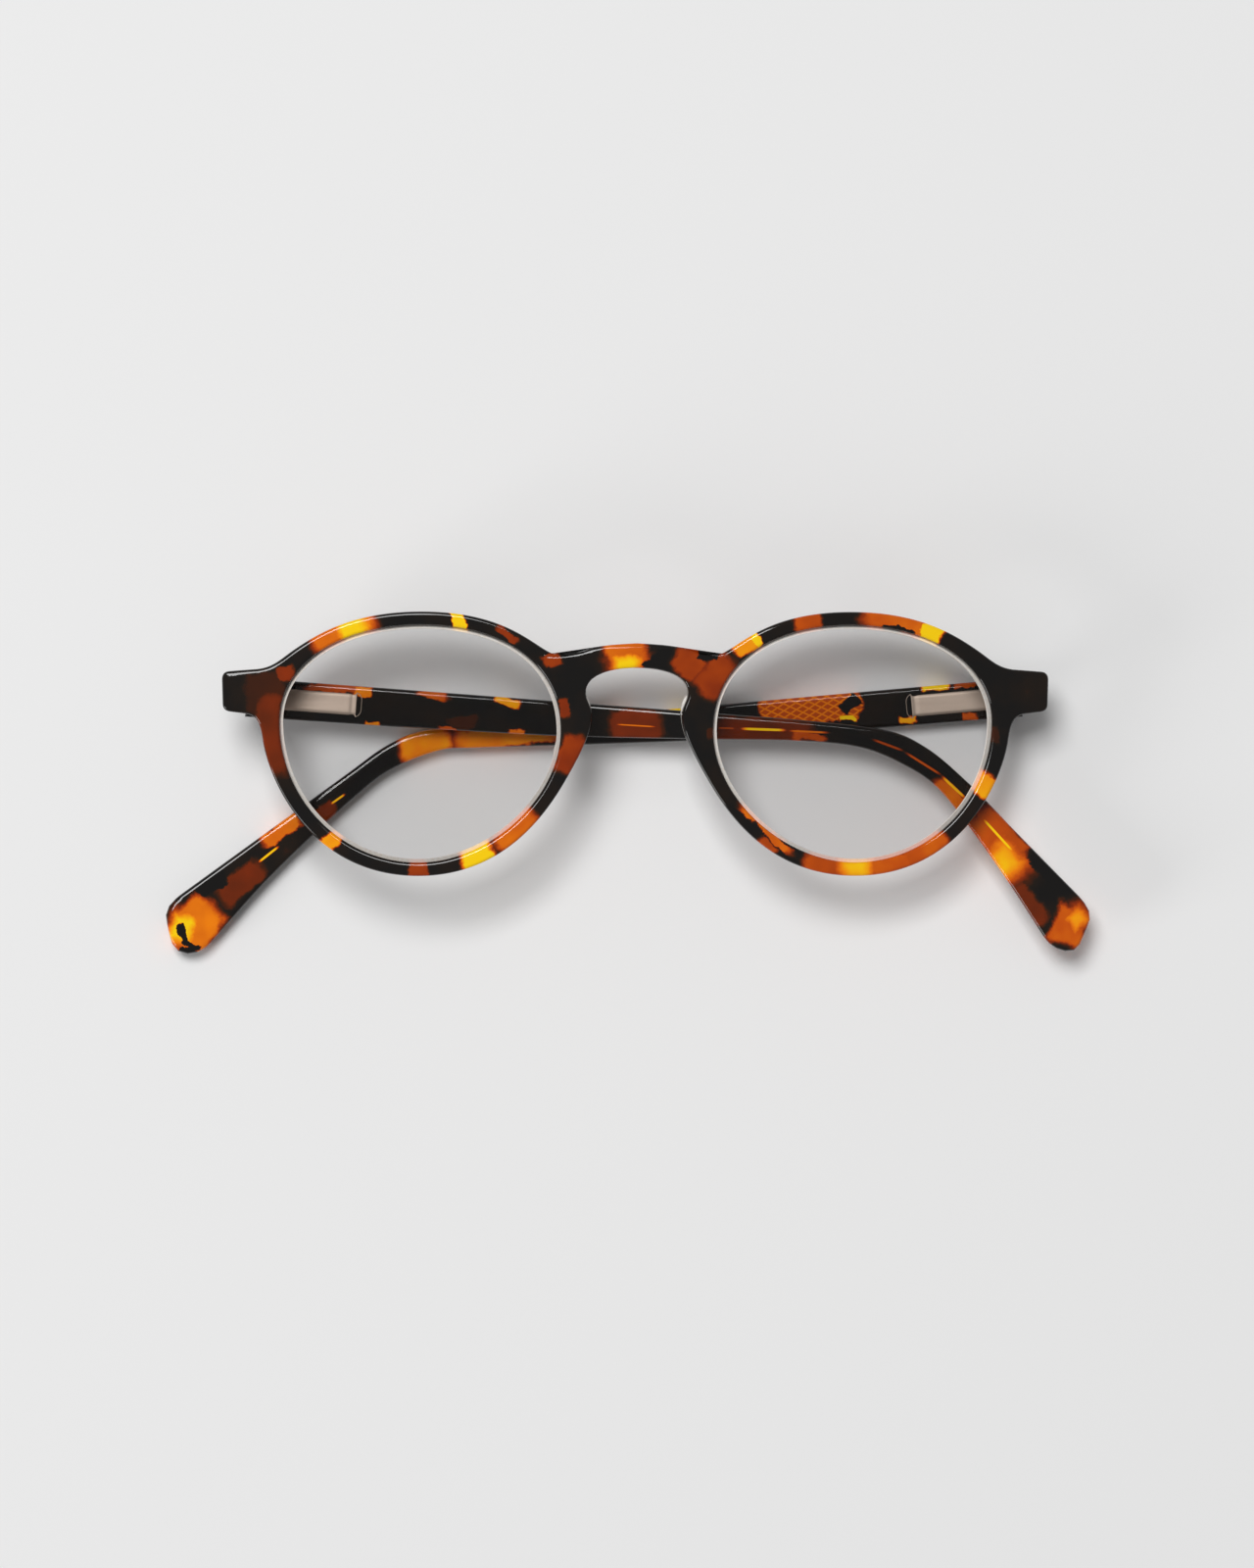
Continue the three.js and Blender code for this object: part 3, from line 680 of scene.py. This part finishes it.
# Painted highlight: lines where the core wire shows through the right temple and glints.
RIGHT_PAINTED_WIRE_GLINTS = [
    (-4.0, 3.2, 4.2, 2.7, 0.16, 0.72),
    (15.6, 2.5, 24.4, 2.2, 0.28, 1.0),
    (23.0, 2.2, 31.0, 1.8, 0.22, 0.70),
    (12.5, 2.6, 16.0, 2.5, 0.18, 0.60),
    (36.5, 1.0, 42.5, -1.2, 0.25, 0.55),
    (41.5, -0.8, 48.5, -5.2, 0.25, 0.62),
    (47.5, -4.6, 52.0, -8.8, 0.30, 0.94),
    (53.6, -10.8, 59.8, -17.6, 0.28, 1.0),
]
LEFT_PATCHES = [
    (47.0, 9.1, 0.9, 2.8, 5, 1.04),
    (51.8, 9.3, 0.7, 2.2, 5, 0.58),
    (42.8, 4.1, 0.8, 1.5, 5, 0.84),
    (52.4, 4.4, 0.7, 1.6, 5, 0.60),
    (33.6, 6.2, 1.1, 1.7, 40, 0.0),
    (33.2, 3.9, 0.5, 1.8, 5, 1.02),
    (15.4, 7.6, 1.0, 1.9, -5, 0.74),
    (-2.4, 5.5, 1.2, 2.9, 5, 0.84),
    (6.8, 5.9, 1.8, 1.9, 24, 1.04),
    (-33.2, 0.3, 3.0, 5.2, 20, 0.80),
    (-20.0, 1.0, 2.0, 11.0, 4, 0.76),
    (-48.6, -10.8, 1.6, 2.6, 40, 0.40),
    (-55.6, -13.4, 1.7, 4.6, 33, 0.74),
    (-62.0, -21.8, 2.6, 5.4, 40, 0.40),
    (-68.9, -28.2, 4.6, 5.2, 50, 0.72),
    (-71.0, -29.0, 3.4, 4.4, 70, 1.04, "soft"),
    (-66.4, -21.6, 1.6, 2.6, 20, 0.0),
    (-70.4, -32.6, 0.7, 1.8, 10, 0.0),
    (-71.0, -29.6, 0.55, 1.6, 100, 0.0),
    (-69.8, -31.4, 0.4, 1.5, -12, 0.0),
]
# Painted highlight: lines where the core wire shows through the left temple and glints.
LEFT_PAINTED_WIRE_GLINTS = [
    (-48.0, -9.5, -45.3, -7.6, 0.22, 0.95),
    (-59.4, -18.7, -55.6, -15.7, 0.24, 1.0),
]
# The wire's knurling seen through the left temple; its lighter diamond lines are painted highlight.
KNURL = (27.5, 6.1, 3.0, 8.2, 5.1)
for side, patches, painted_wire_glints, knurl in (
    ("right", RIGHT_PATCHES, RIGHT_PAINTED_WIRE_GLINTS, None),
    ("left", LEFT_PATCHES, LEFT_PAINTED_WIRE_GLINTS, KNURL),
):
    bar = temple_bar(side)
    bar.data.materials.append(tortoise(f"tortoise_acetate_{side}", patches, painted_wire_glints, knurl))
    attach(bar, f"{side}_temple_arm")
    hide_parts(f"{side}_temple", f"{side}_core_wire")

# ---------------------------------------------------------------------------------------------
# Lenses: thin domed plastic reading lenses, ground to a frosted bevel that sits in the rims' groove
# and shows as a pale ring. The dome is a paraboloid over the opening.
LENS_DOME = 0.4
LENS_THICK = 1.3
LENS_FRONT = 2.95
LENS_TURNS = 360
LENS_BEVEL = 0.55
SHARP_BEND = 15
# Heights of the ground edge: at the opening and inside the groove, towards the front and the back.
FRONT_EDGE_HEIGHTS = [2.5, 2.4]
BACK_EDGE_HEIGHTS = [1.75, 1.9]


def lens_material():
    """Clear plastic: passes a little less than all the light, and mirrors on its outer side by
    Fresnel's law."""
    made = bpy.data.materials.new("lens_plastic")
    made.use_nodes = True
    tree = made.node_tree
    tree.nodes.clear()
    out = tree.nodes.new("ShaderNodeOutputMaterial")
    clear = tree.nodes.new("ShaderNodeBsdfTransparent")
    clear.inputs["Color"].default_value = (0.902, 0.902, 0.902, 1)
    mirror = tree.nodes.new("ShaderNodeBsdfGlossy")
    mirror.inputs["Roughness"].default_value = 0.02
    mirror.inputs["Color"].default_value = (0.8, 0.8, 0.8, 1)
    fresnel = tree.nodes.new("ShaderNodeFresnel")
    fresnel.inputs["IOR"].default_value = 1.25
    facing = tree.nodes.new("ShaderNodeNewGeometry")
    outside = tree.nodes.new("ShaderNodeMapRange")
    outside.inputs["To Min"].default_value = 1.0
    outside.inputs["To Max"].default_value = 0.0
    tree.links.new(facing.outputs["Backfacing"], outside.inputs["Value"])
    outer_only = tree.nodes.new("ShaderNodeMath")
    outer_only.operation = "MULTIPLY"
    tree.links.new(fresnel.outputs["Fac"], outer_only.inputs[0])
    tree.links.new(outside.outputs["Result"], outer_only.inputs[1])
    mix = tree.nodes.new("ShaderNodeMixShader")
    tree.links.new(outer_only.outputs["Value"], mix.inputs["Fac"])
    tree.links.new(clear.outputs["BSDF"], mix.inputs[1])
    tree.links.new(mirror.outputs["BSDF"], mix.inputs[2])
    tree.links.new(mix.outputs["Shader"], out.inputs["Surface"])
    return made


def clouded(tree, shader, scale, dark, light):
    """Base colour that drifts between two near tones with a fine cloudy noise through the material."""
    place = tree.nodes.new("ShaderNodeTexCoord")
    cloud = tree.nodes.new("ShaderNodeTexNoise")
    cloud.inputs["Scale"].default_value = scale
    cloud.inputs["Detail"].default_value = 4.0
    ramp = tree.nodes.new("ShaderNodeValToRGB")
    ramp.color_ramp.elements[0].position = 0.3
    ramp.color_ramp.elements[0].color = (*dark, 1)
    ramp.color_ramp.elements[1].position = 0.7
    ramp.color_ramp.elements[1].color = (*light, 1)
    tree.links.new(place.outputs["Object"], cloud.inputs["Vector"])
    tree.links.new(cloud.outputs["Fac"], ramp.inputs["Fac"])
    tree.links.new(ramp.outputs["Color"], shader.inputs["Base Color"])


lens_plastic = lens_material()
ground_edge, edge_tree, edge_shader = principled("ground_lens_edge", Roughness=0.4, Coat_Weight=0.5)
clouded(edge_tree, edge_shader, 2200.0, (0.93, 0.84, 0.75), (1.0, 0.97, 0.92))


def lens_disc(side):
    """Rings of points from the middle of the lens out to its edge, front and back, each ring at a
    share of the edge's distance; the height falls with the square of the share."""
    sign = -1 if side == "right" else 1
    turns = np.linspace(0, 4, LENS_TURNS, endpoint=False)
    edge = lens_edge_at(turns, 0.0)
    inside = lens_edge_at(turns, LENS_BEVEL)
    bevel = lens_edge_at(turns, -LENS_BEVEL)
    middle_of_lens = np.array([LENS_CENTRE, 0.0])
    shares = np.array([1e-3, 0.15, 0.3, 0.45, 0.6, 0.72, 0.82, 0.9, 0.96, 1.0])
    rings = [middle_of_lens + (bevel - middle_of_lens) * share for share in shares] + [edge, inside]
    dome = [LENS_DOME * (1 - share**2) for share in shares]
    lens_back = LENS_FRONT - LENS_THICK
    front_heights = [LENS_FRONT + height for height in dome] + FRONT_EDGE_HEIGHTS
    back_heights = [lens_back + height for height in dome] + BACK_EDGE_HEIGHTS
    sides = []
    for heights in (front_heights, back_heights):
        lifted = [np.column_stack([ring, np.full(LENS_TURNS, z)]) for ring, z in zip(rings, heights)]
        sides.append(np.stack(lifted, 1))
    sheet = np.concatenate([sides[0], sides[1][:, ::-1]], 1)
    columns = sheet.shape[1]
    flat = sheet.reshape(-1, 3) * (sign, 1, 1)
    poles = np.array([[sign * LENS_CENTRE, 0, z + LENS_DOME] for z in (LENS_FRONT, lens_back)])
    quads = grid_quads(LENS_TURNS, columns, loop_rows=True)
    number = np.arange(LENS_TURNS * columns).reshape(LENS_TURNS, columns)
    first, last = number[:, 0], number[:, -1]
    top_cap = np.stack([first, np.roll(first, -1), np.full(LENS_TURNS, len(flat))], 1)
    low_cap = np.stack([np.roll(last, -1), last, np.full(LENS_TURNS, len(flat) + 1)], 1)
    faces = quads.tolist() + top_cap.tolist() + low_cap.tolist()
    points = from_front(bent_to_face(np.concatenate([flat, poles])))
    mesh = bpy.data.meshes.new(f"{side}_lens_plastic")
    mesh.from_pydata(points.tolist(), [], faces)
    mesh.polygons.foreach_set("use_smooth", np.ones(len(faces), bool))
    strip = np.tile(np.arange(columns - 1), LENS_TURNS)
    ground = (strip >= len(shares) - 1) & (strip < columns - len(shares))
    frosted = np.concatenate([ground, np.zeros(2 * LENS_TURNS, bool)]).astype(np.int32)
    mesh.materials.append(lens_plastic)
    mesh.materials.append(ground_edge)
    mesh.polygons.foreach_set("material_index", frosted)
    piece = bpy.data.objects.new(f"{side}_lens_plastic", mesh)
    bpy.context.scene.collection.objects.link(piece)
    merged(piece).data.set_sharp_from_angle(angle=math.radians(SHARP_BEND))
    return piece


for side in ("right", "left"):
    disc = lens_disc(side)
    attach(disc, "front")
    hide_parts(f"{side}_lens")

# ---------------------------------------------------------------------------------------------
# Nose pads: pale translucent acetate, glued behind the rims on each side of the nose and polished
# round; a slab between the pad's two long sides.
PAD_RIGHT_SIDE = [
    [(9.0, 8.0), (10.2, 8.0), (10.9, 7.0), (11.0, 5.4)],
    [(11.0, 5.4), (11.2, 2.4), (12.9, 0.2), (12.9, -2.0)],
    [(12.9, -2.0), (12.9, -3.3), (11.7, -4.0), (10.7, -3.2)],
]
PAD_LEFT_SIDE = [
    [(9.0, 8.0), (7.8, 8.0), (6.9, 6.8), (7.0, 4.8)],
    [(7.0, 4.8), (7.1, 1.6), (8.6, -1.4), (10.7, -3.2)],
]
PAD_BACK = 0.2
PAD_FRONT = 3.28
PAD_EDGE = 0.9
PAD_LEAST_WIDTH = 1.9
pad_acetate, pad_tree, pad_shader = principled("pale_pad_acetate", Roughness=0.12, IOR=1.5)
clouded(pad_tree, pad_shader, 700.0, (0.70, 0.66, 0.61), (0.82, 0.80, 0.77))


def nose_pad(side):
    """Rows run straight between points at equal shares of the pad's two long sides, closer together
    towards its ends by a cosine, and the slab rounds it over."""
    sign = -1 if side == "right" else 1
    long_sides = (PAD_LEFT_SIDE, PAD_RIGHT_SIDE)
    across = [np.concatenate([bezier(*arc, 40) for arc in arcs]) for arcs in long_sides]
    along = 0.5 - 0.5 * np.cos(np.linspace(0, math.pi, 61))
    left_line, right_line = (resampled(line, along) for line in across)
    width = np.maximum(np.linalg.norm(right_line - left_line, axis=1), PAD_LEAST_WIDTH)
    share = edge_steps(width, PAD_EDGE, rounds=6, between=3)
    grid = left_line[:, None] + (right_line - left_line)[:, None] * share[..., None]
    half = (PAD_FRONT - PAD_BACK) / 2
    edges = [line * (sign, 1) for line in across]
    points, quads = slab(grid * (sign, 1), edges, half, PAD_EDGE)
    points[:, 2] += PAD_BACK + half
    return merged(mesh_piece(f"{side}_pad_acetate", from_front(points), quads))


for side in ("right", "left"):
    pad = nose_pad(side)
    pad.data.materials.append(pad_acetate)
    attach(pad, "front")
    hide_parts(f"{side}_nose_pad")

# ---------------------------------------------------------------------------------------------
# Spring housings: champagne-coloured brushed metal boxes let into the inner faces of the temples,
# with a raised lid, a round end away from the hinge with a groove in it, and softened edges.
HOUSING_START = 1.5
HOUSING_END = 15.3
HOUSING_HALF_HEIGHT = 2.05
HOUSING_CORNER = 1.3
HOUSING_DEPTH = 2.3
HOUSING_PROUD = 0.12
HOUSING_EDGE = 0.3
LID_END = 14.35
LID_FLAT_HALF = 1.45
LID_SLOPE = 0.24
RIDGE_LENGTH = 1.15
RIDGE_DIP = 0.07
GROOVE_DEPTH = 0.55
GROOVE_LIP = 0.16
champagne, champagne_tree, champagne_shader = principled(
    "satin_champagne_metal", Base_Color=(0.44, 0.35, 0.285, 1), Metallic=0.7, Roughness=0.5
)
# Painted shade: the floor of the groove round the lid's end is coloured near-black to stand for the
# shade in the gap, not the metal's own colour.
groove_shadow, groove_tree, groove_shader = principled("groove_painted_shade", Roughness=0.5)
clouded(groove_tree, groove_shader, 1500.0, (0.015, 0.011, 0.009), (0.05, 0.037, 0.03))
brushed = champagne_tree.nodes.new("ShaderNodeTexNoise")
brushed.inputs["Scale"].default_value = 900.0
brush_place = champagne_tree.nodes.new("ShaderNodeTexCoord")
stretched = champagne_tree.nodes.new("ShaderNodeMapping")
stretched.inputs["Scale"].default_value = (0.08, 2.0, 2.0)
champagne_tree.links.new(brush_place.outputs["Object"], stretched.inputs["Vector"])
champagne_tree.links.new(stretched.outputs["Vector"], brushed.inputs["Vector"])
rough_range = champagne_tree.nodes.new("ShaderNodeMapRange")
rough_range.inputs["To Min"].default_value = 0.40
rough_range.inputs["To Max"].default_value = 0.60
champagne_tree.links.new(brushed.outputs["Fac"], rough_range.inputs["Value"])
champagne_tree.links.new(rough_range.outputs["Result"], champagne_shader.inputs["Roughness"])


def spring_housing(side):
    """Rows cross the box from its start to its round end. The half height is level up to the corner
    circles and then follows them: half height - corner + sqrt(corner^2 - (x - circle's middle)^2)."""
    corner = HOUSING_CORNER
    corner_middle = HOUSING_END - corner
    edge_turn = HOUSING_EDGE * (1 - np.cos(np.linspace(0, math.pi / 2, 6)))
    last_turn = corner * np.sin(np.linspace(0, math.pi / 2, 24))
    lid_rows = np.linspace(HOUSING_START + HOUSING_EDGE, corner_middle, 60)[1:]
    rows = np.concatenate([HOUSING_START + edge_turn, lid_rows, corner_middle + last_turn[1:]])
    past = np.maximum(rows - corner_middle, 0)
    height = HOUSING_HALF_HEIGHT - corner + np.sqrt(np.maximum(corner**2 - past**2, 0))
    share = edge_steps(2 * height, HOUSING_EDGE, rounds=8, between=15)
    across = np.stack([height, -height], 1)
    y = across[:, :1] + (across[:, 1:] - across[:, :1]) * share
    grid = np.stack([np.broadcast_to(rows[:, None], y.shape), y], -1)
    outline = np.concatenate([np.column_stack([rows, height]), np.column_stack([rows, -height])[::-1]])
    outline = np.append(outline, outline[:1], 0)
    half = HOUSING_DEPTH / 2
    points, quads = slab(grid, [outline], half, HOUSING_EDGE)
    # Near the round end the lid's end stands up as a soft ridge, and a groove is sunk round it.
    past_lid = points[:, 0] - LID_END
    inside = distance_to(points[:, :2], [outline])
    on_top = points[:, 2] > 0
    # The lid's long edges slope down into the temple, which shows as a light line and a dark one.
    long_edge = np.clip((np.abs(points[:, 1]) - LID_FLAT_HALF) / 0.4, 0, 1)
    long_edge = long_edge * np.clip(-past_lid / 0.15, 0, 1)
    points[:, 2] -= LID_SLOPE * long_edge * on_top
    within = np.clip((inside - GROOVE_LIP) / 0.12, 0, 1) * on_top
    points[:, 2] -= GROOVE_DEPTH * within * np.clip(past_lid / 0.15, 0, 1)
    ridge = np.sin(np.pi * np.clip((past_lid + RIDGE_LENGTH) / RIDGE_LENGTH, 0, 1)) ** 2
    points[:, 2] -= RIDGE_DIP * within * ridge
    middle_of = points[quads].mean(1)
    depth_in = distance_to(middle_of[:, :2], [outline])
    in_groove = (middle_of[:, 0] > LID_END + 0.1) & (depth_in > 0.2) & (middle_of[:, 2] > 0)
    points[:, 2] += TEMPLE_INNER + HOUSING_PROUD - half
    piece = mesh_piece(f"{side}_housing_metal", from_temple(side, points), quads)
    # The groove's faces take the second material, the painted shade.
    piece.data.polygons.foreach_set("material_index", in_groove.astype(np.int32))
    return merged(piece)


for side in ("right", "left"):
    block = spring_housing(side)
    block.data.materials.append(champagne)
    block.data.materials.append(groove_shadow)
    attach(block, f"{side}_temple_arm")
    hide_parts(f"{side}_spring_housing")

# ---------------------------------------------------------------------------------------------
# Hinge metal: the plates, screws, carriages, springs and stop nuts keep their drawn shapes and are
# finished in tumbled nickel silver.
nickel, nickel_tree, nickel_shader = principled(
    "nickel_silver", Base_Color=(0.56, 0.52, 0.46, 1), Metallic=1.0, Roughness=0.3
)
tumbled = nickel_tree.nodes.new("ShaderNodeTexNoise")
tumbled.inputs["Scale"].default_value = 2500.0
nickel_place = nickel_tree.nodes.new("ShaderNodeTexCoord")
nickel_tree.links.new(nickel_place.outputs["Object"], tumbled.inputs["Vector"])
nickel_range = nickel_tree.nodes.new("ShaderNodeMapRange")
nickel_range.inputs["To Min"].default_value = 0.2
nickel_range.inputs["To Max"].default_value = 0.4
nickel_tree.links.new(tumbled.outputs["Fac"], nickel_range.inputs["Value"])
nickel_tree.links.new(nickel_range.outputs["Result"], nickel_shader.inputs["Roughness"])
HINGE_METAL = ("front_hinge_plate", "hinge_screw", "hinge_carriage", "hinge_spring", "spring_stop_nut")
for side in ("right", "left"):
    for part in HINGE_METAL:
        node = frame["nodes"][f"{side}_{part}"]
        node.data.materials.clear()
        node.data.materials.append(nickel)
